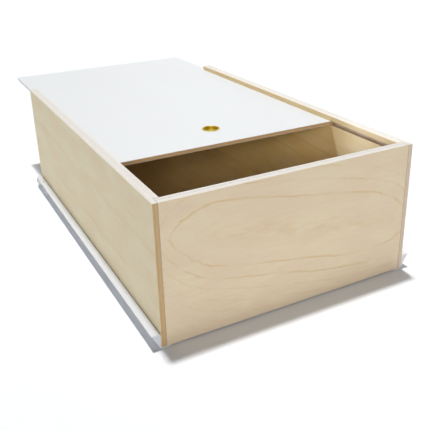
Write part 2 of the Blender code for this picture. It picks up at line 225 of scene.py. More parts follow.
# Lamps: each beam's target, the direction towards the lamp, its distance, and then
# power, width in degrees, blend, softness, colour and the pieces that it lights (all if empty).
COOL = (0.88, 1.0, 1.28)
WARM = (1.0, 0.89, 0.58)
ROSE = (1.0, 0.94, 0.92)
INNER_PIECES = ("birch_bottom", "birch_right_side", "birch_back")
SPOTS = (
    (
        "side_spot", (0.184, -0.315, 0.195), (-3.0, 0.38, 0.6), 1.5,
        50, 6.5, 0.4, 0.05, COOL, ("birch_right_side",),
    ),
    (
        "opening_fill", (0.02, -0.29, 0.17), (-0.42, -0.80, 0.34), 2.5,
        270, 14, 1.0, 0.4, WARM, INNER_PIECES,
    ),
    (
        "low_fill", (0.0, -0.3955, -0.12), (-0.05, -1.0, 0.08), 2.5,
        52, 16, 1.0, 0.3, ROSE, (),
    ),
)

# Camera: the side that the box is seen from, and how far the eye is from what it looks at.
CAMERA_AZIMUTH = -27.08
CAMERA_ELEVATION = 22.42
CAMERA_ROLL = -1.61
CAMERA_TARGET = Vector((0.0074, -0.1526, 0.1018))
CAMERA_DISTANCE = 1.0469
CAMERA_LENS = 52.7
CAMERA_SHIFT_Y = -0.0814


# ---------------------------------------------------------------- shapes

def block(low, high):
    """A rectangular block between two corners."""
    shape = bmesh.new()
    low = Vector(low)
    high = Vector(high)
    placed = Matrix.Translation((low + high) / 2) @ Matrix.Diagonal((*(high - low), 1.0))
    bmesh.ops.create_cube(shape, size=1.0, matrix=placed)
    return shape


def prism(outline, start, end):
    """An outline of (x, z) points carried along Y from start to end."""
    shape = bmesh.new()
    first = [shape.verts.new((x, start, z)) for x, z in outline]
    last = [shape.verts.new((x, end, z)) for x, z in outline]
    shape.faces.new(first)
    shape.faces.new(reversed(last))
    for i in range(len(outline)):
        j = (i + 1) % len(outline)
        shape.faces.new((first[j], first[i], last[i], last[j]))
    bmesh.ops.recalc_face_normals(shape, faces=shape.faces)
    return shape


def turned(profile, direction, centre, segments, closed=False):
    """A profile of (distance along direction, radius) points, turned about centre."""
    shape = bmesh.new()
    turn = Vector((0, 0, 1)).rotation_difference(Vector(direction)).to_matrix()
    rings = []
    for along, radius in profile:
        ring = []
        for i in range(segments if radius > 0 else 1):
            angle = 2 * math.pi * i / segments
            point = Vector((radius * math.cos(angle), radius * math.sin(angle), along))
            ring.append(shape.verts.new(turn @ point + Vector(centre)))
        rings.append(ring)
    pairs = list(zip(rings, rings[1:]))
    if closed:
        pairs.append((rings[-1], rings[0]))
    for ring, following in pairs:
        for i in range(segments):
            j = (i + 1) % segments
            corners = [ring[i % len(ring)], ring[j % len(ring)]]
            corners += [following[j % len(following)], following[i % len(following)]]
            shape.faces.new(list(dict.fromkeys(corners)))
    bmesh.ops.recalc_face_normals(shape, faces=shape.faces)
    return shape


def rod(radius, start, end, centre, direction, segments=HOLE_SEGMENTS):
    """A plain cylinder along direction, used as a cutter."""
    profile = [(start, 0), (start, radius), (end, radius), (end, 0)]
    return turned(profile, direction, centre, segments)


def rounded(profile, radius, steps=4, closed=False):
    """The profile with its corners rounded, but not its two ends when it is open."""
    points = [Vector(point) for point in profile]
    count = len(points)
    result = []
    for i, corner in enumerate(points):
        if not closed and i in (0, count - 1):
            result.append(tuple(corner))
            continue
        before = points[i - 1] - corner
        after = points[(i + 1) % count] - corner
        reach = min(radius, MOST_OF_EDGE * before.length, MOST_OF_EDGE * after.length)
        start = corner + before.normalized() * reach
        end = corner + after.normalized() * reach
        for step in range(steps + 1):
            t = step / steps
            result.append(tuple(start * (1 - t) ** 2 + corner * 2 * t * (1 - t) + end * t ** 2))
    return result


def as_object(name, shape):
    """An object made from a bmesh, which is then freed."""
    mesh = bpy.data.meshes.new(name)
    shape.to_mesh(mesh)
    shape.free()
    made = bpy.data.objects.new(name, mesh)
    bpy.context.scene.collection.objects.link(made)
    return made


def combined(target, tools, operation):
    """The target bmesh after one exact Boolean with each tool bmesh."""
    base = as_object("base", target)
    others = [as_object("tool", tool) for tool in tools]
    for other in others:
        step = base.modifiers.new("cut", "BOOLEAN")
        step.operation = operation
        step.solver = "EXACT"
        step.object = other
    depsgraph = bpy.context.evaluated_depsgraph_get()
    result = bmesh.new()
    result.from_mesh(base.evaluated_get(depsgraph).data)
    bmesh.ops.dissolve_degenerate(result, dist=SLIVER, edges=result.edges)
    for item in (base, *others):
        mesh = item.data
        bpy.data.objects.remove(item)
        bpy.data.meshes.remove(mesh)
    return result


def eased(shape, width, steps):
    """The shape with its outward edges rounded by width."""
    least = math.radians(EASED_ANGLE)
    edges = []
    for edge in shape.edges:
        if len(edge.link_faces) == 2 and edge.calc_face_angle_signed(0) > least:
            edges.append(edge)
    bmesh.ops.bevel(
        shape, geom=edges, offset=width, segments=steps, profile=0.5,
        affect="EDGES", clamp_overlap=True,
    )
    return shape


def flipped(shape):
    """A mirror copy across the plane x = 0."""
    copy = shape.copy()
    bmesh.ops.transform(copy, matrix=Matrix.Diagonal((-1, 1, 1, 1)), verts=copy.verts)
    bmesh.ops.reverse_faces(copy, faces=copy.faces)
    return copy


def piece(name, shape, body, nodes, materials):
    """Makes a shown piece from a bmesh: it rides on body and stands for nodes."""
    made = as_object(name, shape)
    for each in materials:
        made.data.materials.append(each)
    made.data.shade_smooth()
    made.data.set_sharp_from_angle(angle=math.radians(SHARP_ANGLE))
    weighted = made.modifiers.new("even_shading", "WEIGHTED_NORMAL")
    weighted.keep_sharp = True
    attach(made, body)
    if nodes:
        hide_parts(*nodes)


# ---------------------------------------------------------------- materials

class Nodes:
    """Short ways to add nodes to one material. Fields are sized in millimetres in the frame."""

    def __init__(self, name):
        self.material = bpy.data.materials.new(name)
        self.material.use_nodes = True
        self.tree = self.material.node_tree
        self.shader = self.tree.nodes["Principled BSDF"]
        coordinates = self.tree.nodes.new("ShaderNodeTexCoord")
        split = self.tree.nodes.new("ShaderNodeSeparateXYZ")
        self.link(coordinates.outputs["Object"], split.inputs[0])
        self.place = {}
        for axis in "XYZ":
            self.place[axis] = self.math("MULTIPLY", split.outputs[axis], 1 / MM)

    def link(self, source, target):
        self.tree.links.new(source, target)

    def give(self, value, socket):
        """Sets a socket to a number or colour, or links it to another node's output."""
        if isinstance(value, bpy.types.NodeSocket):
            self.link(value, socket)
        elif isinstance(value, tuple) and len(value) == 3:
            socket.default_value = (*value, 1.0)
        else:
            socket.default_value = value

    def math(self, operation, *values, clamp=False):
        node = self.tree.nodes.new("ShaderNodeMath")
        node.operation = operation
        node.use_clamp = clamp
        for value, socket in zip(values, node.inputs):
            self.give(value, socket)
        return node.outputs[0]

    def add(self, a, b):
        return self.math("ADD", a, b)

    def times(self, a, b):
        return self.math("MULTIPLY", a, b)

    def point(self, x, y, z):
        node = self.tree.nodes.new("ShaderNodeCombineXYZ")
        for value, socket in zip((x, y, z), node.inputs):
            self.give(value, socket)
        return node.outputs[0]

    def field(self, sizes, seed, detail=2.0, rough=0.5):
        """Smooth noise from 0 to 1 whose features have these sizes along the named axes, in mm."""
        scaled = []
        for axis, size in sizes:
            value = self.place[axis] if isinstance(axis, str) else axis
            scaled.append(self.math("DIVIDE", value, size))
        while len(scaled) < 3:
            scaled.append(0.0)
        node = self.tree.nodes.new("ShaderNodeTexNoise")
        node.noise_dimensions = "4D"
        node.inputs["W"].default_value = seed
        node.inputs["Scale"].default_value = 1.0
        node.inputs["Detail"].default_value = detail
        node.inputs["Roughness"].default_value = rough
        self.link(self.point(*scaled), node.inputs["Vector"])
        return node.outputs[0]

    def solid(self, sizes, seed, detail=2.0, rough=0.5):
        """A field whose features have these sizes along X, Y and Z, in mm."""
        return self.field(tuple(zip("XYZ", sizes)), seed, detail, rough)

    def swing(self, field, amount):
        """A field turned into a value that swings by amount to either side of 0."""
        return self.times(self.add(field, -0.5), 2 * amount)

    def ramp(self, value, low, high, start=0.0, end=1.0):
        """Turns values from low to high smoothly into values from start to end."""
        node = self.tree.nodes.new("ShaderNodeMapRange")
        node.interpolation_type = "SMOOTHSTEP"
        for setting, name in ((value, 0), (low, 1), (high, 2), (start, 3), (end, 4)):
            self.give(setting, node.inputs[name])
        return node.outputs[0]

    def mix(self, share, first, second, kind="MIX"):
        """A colour between first and second."""
        node = self.tree.nodes.new("ShaderNodeMix")
        node.data_type = "RGBA"
        node.blend_type = kind
        node.clamp_factor = True
        self.give(share, node.inputs[0])
        self.give(first, node.inputs[6])
        self.give(second, node.inputs[7])
        return node.outputs[2]

    def shaded(self, colour, amount):
        """The colour made lighter or darker by a swinging value."""
        level = self.add(amount, 1.0)
        return self.mix(1.0, colour, self.point(level, level, level), kind="MULTIPLY")

    def bumps(self, *layers):
        """Links bump made of (height from 0 to 1, depth in mm) layers."""
        normal = None
        for height, depth in layers:
            node = self.tree.nodes.new("ShaderNodeBump")
            node.inputs["Strength"].default_value = 1.0
            node.inputs["Distance"].default_value = depth * MM
            self.link(height, node.inputs["Height"])
            if normal:
                self.link(normal, node.inputs["Normal"])
            normal = node.outputs[0]
        self.link(normal, self.shader.inputs["Normal"])

    def finish(self, colour, roughness, **settings):
        """Sets the shader's colour, roughness and any other sockets, and returns the material."""
        self.give(colour, self.shader.inputs["Base Color"])
        self.give(roughness, self.shader.inputs["Roughness"])
        for name, value in settings.items():
            self.shader.inputs[name.replace("_", " ")].default_value = value
        return self.material


def veneer(name, along, across, heart, seed, contrast, tint, colours):
    """Rotary-cut birch: growth lines that loop round a long heart, fine fibres and small flecks.

    contrast is how strong the figure is, and tint how far the colours lean to the warm one.
    """
    nodes = Nodes(name)

    def marks(size, step, *detail):
        """A field of marks of this size, each kind with its own step from the panel's seed."""
        return nodes.field(((along, size[0]), (across, size[1])), seed + step, *detail)

    # How far a point is from the heart: 0 at its middle and 1 all along its outline.
    middle_u, middle_v, half_u, half_v, rise = heart
    off_u = nodes.add(nodes.place[along], -middle_u)
    far_u = nodes.math("ABSOLUTE", nodes.times(off_u, 1 / half_u))
    wander = nodes.swing(marks(WANDER, 0, 1.0), WANDER_BY)
    wiggle = nodes.swing(marks(WIGGLE, 3, 2.0), 1.0)
    wiggle = nodes.times(wiggle, nodes.ramp(far_u, *WIGGLE_GROWS))
    axis_v = nodes.add(nodes.times(off_u, rise), middle_v)
    moved_v = nodes.add(nodes.place[across], nodes.add(wander, wiggle))
    off_v = nodes.math("SUBTRACT", moved_v, axis_v)
    far_v = nodes.math("ABSOLUTE", nodes.times(off_v, 1 / half_v))
    long_way = nodes.math("POWER", far_u, SIDE_SHAPE)
    short_way = nodes.math("POWER", far_v, TIP_SHAPE)
    distance = nodes.math("POWER", nodes.add(long_way, short_way), 1 / TIP_SHAPE)

    # The figure: lines that fade inside the heart and far from it, and blotches at its middle.
    grown = nodes.math("POWER", distance, LOOP_GROWTH)
    ring = nodes.math("FRACT", nodes.times(grown, LOOPS))
    rising = nodes.ramp(ring, *LINE_DARKENS)
    falling = nodes.ramp(ring, *LINE_ENDS)
    line = nodes.math("MINIMUM", rising, falling)
    line = nodes.times(line, nodes.ramp(distance, *FAINT_INSIDE))
    line = nodes.times(line, nodes.ramp(distance, *FAINT_FAR_OFF))
    patchy = nodes.ramp(marks(PATCH, 7, 1.0), *PATCH_STRENGTH)
    blotch = nodes.ramp(marks(BLOTCH, 5, 1.0), *BLOTCH_EDGE)
    blotch = nodes.times(blotch, nodes.ramp(distance, *BLOTCH_REACH))
    figure = nodes.math("MAXIMUM", nodes.times(line, patchy), blotch)

    # Colour: the mottle, then the figure, the fibres and streaks, and the flecks.
    mottle = nodes.ramp(marks(MOTTLE, 11, 4.0, 0.55), *MOTTLE_EDGE)
    fibre = marks(FIBRE, 17, 3.0, 0.6)
    streak = marks(STREAK, 29, 2.0)
    fleck = nodes.ramp(marks(FLECK, 23, 1.0), *FLECK_EDGE)
    colour = nodes.mix(nodes.math("ADD", mottle, tint, clamp=True), *colours)
    colour = nodes.mix(nodes.times(figure, contrast), colour, VENEER_LINE)
    colour = nodes.shaded(colour, nodes.add(nodes.swing(fibre, 0.08), nodes.swing(streak, 0.06)))
    colour = nodes.mix(nodes.times(fleck, 0.30), colour, VENEER_LINE)
    nodes.bumps((fibre, 0.05), (nodes.math("SUBTRACT", 1.0, fleck), 0.03))
    roughness = nodes.ramp(fibre, 0.2, 0.8, 0.46, 0.62)
    return nodes.finish(colour, roughness, Specular_IOR_Level=0.35)


def plies(name, through, start, sheet, count, pale, dark):
    """A plywood sheet's edge: plies with fibres along and across in turn, and glue lines."""
    nodes = Nodes(name)
    depth = nodes.times(nodes.add(nodes.place[through], -start / MM), count * MM / sheet)
    ply = nodes.math("FLOOR", nodes.math("ABSOLUTE", depth))
    parity = nodes.math("MODULO", ply, 2.0)
    tone = nodes.swing(nodes.field(((ply, PLY_TONE_STEP),), start / MM, 0.0), PLY_TONE)
    within = nodes.math("FRACT", depth)
    to_glue = nodes.math("MINIMUM", within, nodes.math("SUBTRACT", 1.0, within))
    glue_line = nodes.ramp(to_glue, *GLUE_EDGE)
    pores = nodes.solid((0.35, 0.35, 0.35), 31, 2.0, 0.6)
    streaks = nodes.solid((6, 6, 6), 37, 4.0, 0.7)
    light = nodes.shaded(pale, nodes.add(nodes.swing(streaks, 0.10), tone))
    cross = nodes.mix(nodes.ramp(pores, 0.35, 0.65), dark, pale)
    cross = nodes.shaded(cross, nodes.add(nodes.swing(streaks, 0.12), tone))
    colour = nodes.mix(parity, light, cross)
    colour = nodes.mix(nodes.times(glue_line, GLUE_SHOWS), colour, PLY_GLUE)
    nodes.bumps((pores, 0.04), (nodes.math("SUBTRACT", 1.0, glue_line), 0.05))
    roughness = nodes.ramp(pores, 0.2, 0.8, 0.55, 0.75)
    return nodes.finish(colour, roughness, Specular_IOR_Level=0.3)


def routed(name):
    """Wood as a cutter leaves it in a groove: darker, with fine ripples across the cut."""
    nodes = Nodes(name)
    burnt = nodes.solid((12, 22, 3), 41, 4.0, 0.6)
    ripple = nodes.solid((1.1, 1.1, 7), 43, 1.0)
    colour = nodes.mix(nodes.ramp(burnt, 0.3, 0.7), ROUTED_PALE, ROUTED_BURNT)
    colour = nodes.shaded(colour, nodes.swing(ripple, 0.08))
    nodes.bumps((ripple, 0.08))
    return nodes.finish(colour, 0.75, Specular_IOR_Level=0.25)


def white_laminate():
    """A matt white sheet with a fine pebbled surface, faint cloudiness and a few faint scuffs."""
    nodes = Nodes("white_laminate")
    cloud = nodes.solid((90, 140, 50), 51, 3.0)
    pebble = nodes.solid((0.55, 0.55, 0.55), 53, 2.0)
    scuff = nodes.ramp(nodes.solid((30, 1.2, 5), 57, 2.0), 0.70, 0.78)
    colour = nodes.mix(nodes.ramp(cloud, 0.3, 0.7), *LAMINATE_WHITE)
    colour = nodes.mix(nodes.times(scuff, 0.06), colour, LAMINATE_SCUFF)
    roughness = nodes.add(nodes.ramp(cloud, 0.2, 0.8, 0.50, 0.60), nodes.times(scuff, 0.10))
    nodes.bumps((pebble, 0.012))
    return nodes.finish(colour, roughness, Specular_IOR_Level=0.22)


def turned_brass(centre):
    """Brass with the fine rings of the lathe, and a little tarnish in patches."""
    nodes = Nodes("turned_brass")
    off_x = nodes.add(nodes.place["X"], -centre.x / MM)
    off_y = nodes.add(nodes.place["Y"], -centre.y / MM)
    squares = nodes.add(nodes.math("POWER", off_x, 2.0), nodes.math("POWER", off_y, 2.0))
    radius = nodes.math("SQRT", squares)
    rings = nodes.field(((radius, 0.12), ("Z", 0.3)), 61, 2.0)
    tarnish = nodes.solid((6, 6, 2), 67, 4.0, 0.6)
    colour = nodes.mix(nodes.ramp(tarnish, 0.35, 0.75), *BRASS)
    nodes.bumps((rings, 0.006))
    roughness = nodes.add(nodes.ramp(tarnish, 0.3, 0.8, 0.27, 0.44), nodes.times(rings, 0.06))
    return nodes.finish(colour, roughness, Metallic=1.0)


def painted_steel():
    """White paint on pressed steel: slight orange peel, thin rubbed places and faint dust."""
    nodes = Nodes("painted_steel")
    peel = nodes.solid((1.6, 1.6, 1.6), 71, 2.0)
    dust = nodes.solid((25, 60, 25), 73, 4.0, 0.6)
    rub = nodes.ramp(nodes.solid((0.8, 25, 0.8), 79, 2.0), 0.70, 0.80)
    colour = nodes.mix(nodes.ramp(dust, 0.3, 0.8), *PAINT)
    colour = nodes.mix(nodes.times(rub, 0.12), colour, PAINT_RUB)
    nodes.bumps((peel, 0.02))
    roughness = nodes.ramp(dust, 0.2, 0.8, 0.28, 0.40)
    return nodes.finish(colour, roughness, Specular_IOR_Level=0.5)


def moulded_nylon():
    """Milky nylon with a fine grain and a little dust."""
    nodes = Nodes("moulded_nylon")
    grain = nodes.solid((0.5, 0.8, 0.8), 83, 3.0)
    dust = nodes.solid((3, 3, 3), 89, 3.0)
    colour = nodes.mix(nodes.ramp(dust, 0.35, 0.8), *NYLON)
    nodes.bumps((grain, 0.015))
    roughness = nodes.ramp(grain, 0.2, 0.8, 0.38, 0.52)
    return nodes.finish(colour, roughness, Subsurface_Weight=0.15, Subsurface_Scale=0.001)


def zinc_plate():
    """Zinc plating with soft bluish and yellowish patches and fine scratches."""
    nodes = Nodes("zinc_plate")
    patch = nodes.solid((2, 2, 2), 97, 3.0)
    scratch = nodes.solid((0.2, 3, 0.4), 101, 2.0)
    colour = nodes.mix(nodes.ramp(patch, 0.3, 0.7), *ZINC)
    nodes.bumps((scratch, 0.008))
    return nodes.finish(colour, nodes.ramp(scratch, 0.2, 0.8, 0.25, 0.42), Metallic=1.0)


# ---------------------------------------------------------------- plywood panels

def side_of(normal):
    """The axis, 0 to 2, that a normal is nearest to."""
    return max(range(3), key=lambda axis: abs(normal[axis]))


def dress_panel(shape, low, high, thin_axis):
    """Gives each face its material: veneer, a long edge, an end edge or a cut."""
    for face in shape.faces:
        axis = side_of(face.normal)
        middle = face.calc_center_median()
        depth = min(abs(middle[axis] - low[axis]), abs(high[axis] - middle[axis]))
        if depth > SKIN:
            face.material_index = CUT
        elif axis == thin_axis:
            face.material_index = VENEER
        else:
            # Edges facing up or down get the pale plies, partly a painted highlight of light from
            # above.
            face.material_index = LIT_LEVEL_EDGE if axis == UP else END_EDGE


def side_panel(low, high):
    """The left side: rebated for the front and back, grooved for the bottom and the lid."""
    front_low, front_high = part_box("front_panel")
    back_low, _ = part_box("back_panel")
    bottom_low, bottom_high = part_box("bottom_panel")
    lid_low, lid_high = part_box("sliding_lid")
    tongue_x = front_low.x - GAP
    groove_x = bottom_low.x - GAP
    front_y = front_high.y + GAP
    back_y = back_low.y - GAP
    past_x = high.x + PAST
    cuts = [
        block((tongue_x, low.y - PAST, low.z - PAST), (past_x, front_y, high.z + PAST)),
        block((tongue_x, back_y, low.z - PAST), (past_x, high.y + PAST, lid_low.z - GAP)),
        block((groove_x, low.y - PAST, bottom_low.z - GAP), (past_x, back_y, bottom_high.z + GAP)),
        block((groove_x, low.y - PAST, lid_low.z - GAP), (past_x, high.y + PAST, lid_high.z + GAP)),
    ]
    for number in range(1, SCREWS + 1):
        screw_low, screw_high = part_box(f"left_runner_screw_{number}")
        middle = (screw_low + screw_high) / 2
        mouth = (low.x, middle.y, middle.z)
        cuts.append(rod(PILOT_RADIUS, -PAST, PILOT_DEPTH, mouth, (1, 0, 0), CUT_SEGMENTS))
    return combined(eased(block(low, high), ARRIS, ARRIS_STEPS), cuts, "DIFFERENCE")


def cross_panel(name, grooves):
    """The front or the back panel, with grooves given as (node in the groove, opens towards +Y)."""
    low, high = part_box(name)
    bottom_low, bottom_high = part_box("bottom_panel")
    cuts = []
    for node, opens_back in grooves:
        node_low, node_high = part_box(node)
        floor_y = bottom_low.y - GAP if opens_back else bottom_high.y + GAP
        mouth_y = high.y + PAST if opens_back else low.y - PAST
        near = (low.x - PAST, min(floor_y, mouth_y), node_low.z - GAP)
        far = (high.x + PAST, max(floor_y, mouth_y), node_high.z + GAP)
        cuts.append(block(near, far))
    return combined(eased(block(low, high), ARRIS, ARRIS_STEPS), cuts, "DIFFERENCE")


def panel(
    name, shape, node, axes, heart, seed, contrast,
    ends=STRIP_GREY, tint=0.0, colours=FRONT_VENEER,
):
    """Dresses a plywood panel in veneer, ply edges and routed wood.

    axes names three axes: through the sheet, along the grain, and across it.
    """
    low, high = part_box(node)
    through, grain, across = axes
    thin_axis = "XYZ".index(through)
    dress_panel(shape, low, high, thin_axis)
    start = low[thin_axis]
    sheet = high[thin_axis] - start
    count = max(FEWEST_PLIES, round(FULL_PLIES * sheet / FULL_SHEET))
    materials = [
        veneer(f"{name}_veneer", grain, across, heart, seed, contrast, tint, colours),
        # Up and down edges: pale plies, partly a painted highlight of light from above.
        plies(f"{name}_plies", through, start, sheet, count, PLY_PALE_AND_LIT, PLY_GREY),
        plies(f"{name}_ends", through, start, sheet, count, ends, ends),
        routed_wood,
    ]
    piece(name, shape, "box", [node], materials)


def make_panels():
    """The five plywood panels."""
    low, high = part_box("left_side_panel")
    left = side_panel(low, high)
    # The left side wears paler veneer colours: painted light on its outer face.
    panel(
        "birch_left_side", left.copy(), "left_side_panel", "XYZ", LEFT_HEART,
        seed=5, contrast=0.2, ends=STRIP_BROWN, colours=LIT_LEFT_VENEER,
    )
    # The right side wears deeper, warmer veneer colours: painted shade inside the box.
    panel(
        "birch_right_side", flipped(left), "right_side_panel", "XYZ", RIGHT_HEART,
        seed=13, contrast=0.6, colours=SHADED_RIGHT_VENEER,
    )
    left.free()
    front = cross_panel("front_panel", (("bottom_panel", True), ("sliding_lid", True)))
    panel(
        "birch_front", front, "front_panel", "YXZ", FRONT_HEART,
        seed=2, contrast=0.68, tint=0.3,
    )
    back = cross_panel("back_panel", (("bottom_panel", False),))
    panel("birch_back", back, "back_panel", "YXZ", BACK_HEART, seed=19, contrast=0.7)
    low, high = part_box("bottom_panel")
    bottom = eased(block(low, high), ARRIS, ARRIS_STEPS)
    # The bottom wears deeper, warmer veneer colours: painted shade inside the box.
    panel(
        "birch_bottom", bottom, "bottom_panel", "ZYX", BOTTOM_HEART,
        seed=29, contrast=0.6, colours=SHADED_BOTTOM_VENEER,
    )


# ---------------------------------------------------------------- the lid

def make_lid():
    """The lid's core, its two white sheets and the brass finger pull."""
    low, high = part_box("sliding_lid")
    pull_low, pull_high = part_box("finger_pull")
    centre = (pull_low + pull_high) / 2
    centre.z = low.z
    hole_radius = PULL_CUP_RADIUS + LID_HOLE_GAP
    white = white_laminate()
    core_low = low + Vector((0, 0, LAMINATE + LAMINATE_SEAM))
    core_high = high - Vector((0, 0, LAMINATE + LAMINATE_SEAM))
    core_height = core_high.z - core_low.z
    edge = plies("lid_edge", "Z", core_low.z, core_height, LID_PLIES, LID_CORE, LID_CORE_DARK)
    layers = (
        ("lid_core", core_low, core_high),
        ("lid_white_top", Vector((low.x, low.y, high.z - LAMINATE)), high),
        ("lid_white_underside", low, Vector((high.x, high.y, low.z + LAMINATE))),
    )
    for name, near, far in layers:
        is_core = name == "lid_core"
        shape = block(near, far)
        if not is_core:
            eased(shape, LAMINATE_ARRIS, FINE_STEPS)
        hole = rod(hole_radius, -PAST, high.z - low.z + PAST, centre, (0, 0, 1), PULL_SEGMENTS)
        shape = combined(shape, [hole], "DIFFERENCE")
        if is_core:
            whiten_sides(shape)
        nodes = ["sliding_lid"] if is_core else []
        materials = [edge, white] if is_core else [white]
        piece(name, shape, "lid", nodes, materials)
    make_pull(centre, pull_low, pull_high, high.z)


def whiten_sides(shape):
    """Gives the lid core's left and right edges the white material, but not the round hole."""
    for face in shape.faces:
        is_side = side_of(face.normal) == 0 and len(face.verts) == 4
        face.material_index = 1 if is_side else 0


def make_pull(centre, low, high, lid_top):
    """The brass cup: a rolled rim on the lid, a wall down the hole and a dished floor."""
    outer = (high.x - low.x) / 2
    inner = PULL_CUP_RADIUS - PULL_WALL
    under = low.z - centre.z
    rim_under = lid_top + GAP - centre.z
    rim_top = high.z - centre.z
    floor_top = under + PULL_WALL
    profile = [
        (under, 0),
        (under, PULL_CUP_RADIUS),
        (rim_under, PULL_CUP_RADIUS),
        (rim_under, outer),
        (rim_top, outer),
        (rim_top, inner),
        (floor_top + PULL_WALL, inner),
        (floor_top, inner - 3 * PULL_WALL),
        (floor_top, 0),
    ]
    softened = rounded(profile, PULL_ROUNDING, steps=6)
    shape = turned(softened, (0, 0, 1), centre, PULL_SEGMENTS)
    piece("brass_pull", shape, "lid", ["finger_pull"], [turned_brass(centre)])


# ---------------------------------------------------------------- runners

def arc(centre, start, end, radius):
    """Points round a bend, from the start angle to the end angle in degrees."""
    points = []
    for i in range(BEND_STEPS + 1):
        angle = math.radians(start + (end - start) * i / BEND_STEPS)
        x = centre[0] + radius * math.cos(angle)
        z = centre[1] + radius * math.sin(angle)
        points.append((x, z))
    return points


def runner_shape():
    """The left runner: a leg under the side, a web up its face, a flange and an end plate."""
    low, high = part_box("left_runner")
    side_low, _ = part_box("left_side_panel")
    web_in = side_low.x - GAP
    web_out = web_in - STEEL
    inner_bend = BEND_RADIUS - STEEL
    leg_centre = (web_out + BEND_RADIUS, low.z + BEND_RADIUS)
    flange_centre = (web_in - BEND_RADIUS, high.z - BEND_RADIUS)
    outline = [(high.x, low.z), (high.x, low.z + STEEL)]
    outline += arc(leg_centre, 270, 180, inner_bend)
    outline += arc(flange_centre, 0, 90, BEND_RADIUS)
    outline += [(low.x, high.z), (low.x, high.z - STEEL)]
    outline += arc(flange_centre, 90, 0, inner_bend)
    outline += arc(leg_centre, 180, 270, BEND_RADIUS)
    shape = prism(outline, low.y, high.y)
    middle_x = (web_in + web_out) / 2
    plate_top = high.z - STEEL / 2
    plate_low = low.z + STEEL / 2
    plate_outline = [(middle_x, plate_low), (middle_x, plate_top), (low.x + STEEL / 4, plate_top)]
    plate = prism(plate_outline, low.y + GAP, low.y + GAP + STEEL)
    shape = combined(shape, [plate], "UNION")
    past_y = high.y + PAST
    roller_low, roller_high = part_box("left_roller")
    wheel_z = (roller_low.z + roller_high.z) / 2
    flange_y = high.y - FLANGE_END_GAP
    leg_y = high.y - LEG_END_GAP
    ends = [
        block((low.x - PAST, flange_y, roller_high.z), (high.x + PAST, past_y, 2 * high.z)),
        block((low.x - PAST, leg_y, low.z - PAST), (high.x + PAST, past_y, roller_low.z)),
    ]
    shape = eased(combined(shape, ends, "DIFFERENCE"), STEEL_ARRIS, FINE_STEPS)
    hole_place = Vector((side_low.x, side_low.y, high.z)) + LOCATING_HOLE
    pin_low, pin_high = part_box("left_roller_pin")
    axle_y = (pin_low.y + pin_high.y) / 2
    across = (1, 0, 0)
    holes = [
        rod(LOCATING_RADIUS, -2 * STEEL, STEEL, hole_place, (0, 0, 1)),
        rod(PIN_RADIUS + GAP, -STEEL, STEEL, (middle_x, axle_y, wheel_z), across),
    ]
    first_low, first_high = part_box("left_runner_screw_1")
    first = (first_low + first_high) / 2
    for number in range(1, SCREWS + 1):
        screw_low, screw_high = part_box(f"left_runner_screw_{number}")
        place = (screw_low + screw_high) / 2
        holes.append(rod(SCREW_SHANK + GAP, -STEEL, STEEL, (middle_x, place.y, place.z), across))
    for step in SLOT_STEPS:
        y = first.y + SCREW_STEP * step
        near = (middle_x - STEEL, y - SLOT_RADIUS, first.z - SLOT_HALF_LENGTH)
        far = (middle_x + STEEL, y + SLOT_RADIUS, first.z + SLOT_HALF_LENGTH)
        holes.append(block(near, far))
        for z in (near[2], far[2]):
            holes.append(rod(SLOT_RADIUS, -STEEL, STEEL, (middle_x, y, z), across))
    return combined(shape, holes, "DIFFERENCE")


def roller_shape():
    """The left roller: a rounded tread, a dished web on each face and a hub round the bore."""
    low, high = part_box("left_roller")
    centre = (low + high) / 2
    half = (high.x - low.x) / 2
    tread = half - ROLLER_HUB_STEP
    dish = tread - ROLLER_DISH
    radius = (high.z - low.z) / 2
    rim = radius - ROLLER_RIM
    profile = [
        (-half, ROLLER_BORE), (-half, ROLLER_HUB), (-dish, ROLLER_HUB), (-dish, rim),
        (-tread, rim), (-tread, radius), (tread, radius), (tread, rim),
        (dish, rim), (dish, ROLLER_HUB), (half, ROLLER_HUB), (half, ROLLER_BORE),
    ]
    softened = rounded(profile, ROLLER_ROUNDING, closed=True)
    return turned(softened, (-1, 0, 0), centre, TURNED_SEGMENTS, closed=True)


def pin_shape():
    """The left axle pin, with a domed head that keeps the roller on."""
    low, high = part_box("left_roller_pin")
    centre = (low + high) / 2
    half = (high.x - low.x) / 2
    head_radius = (high.z - low.z) / 2
    seat = half - PIN_HEAD
    profile = [
        (-half, 0), (-half, PIN_RADIUS), (seat, PIN_RADIUS), (seat, head_radius),
        (half - PIN_HEAD / 2, head_radius), (half, PIN_RADIUS), (half, 0),
    ]
    return turned(rounded(profile, PIN_ROUNDING), (-1, 0, 0), centre, TURNED_SEGMENTS)


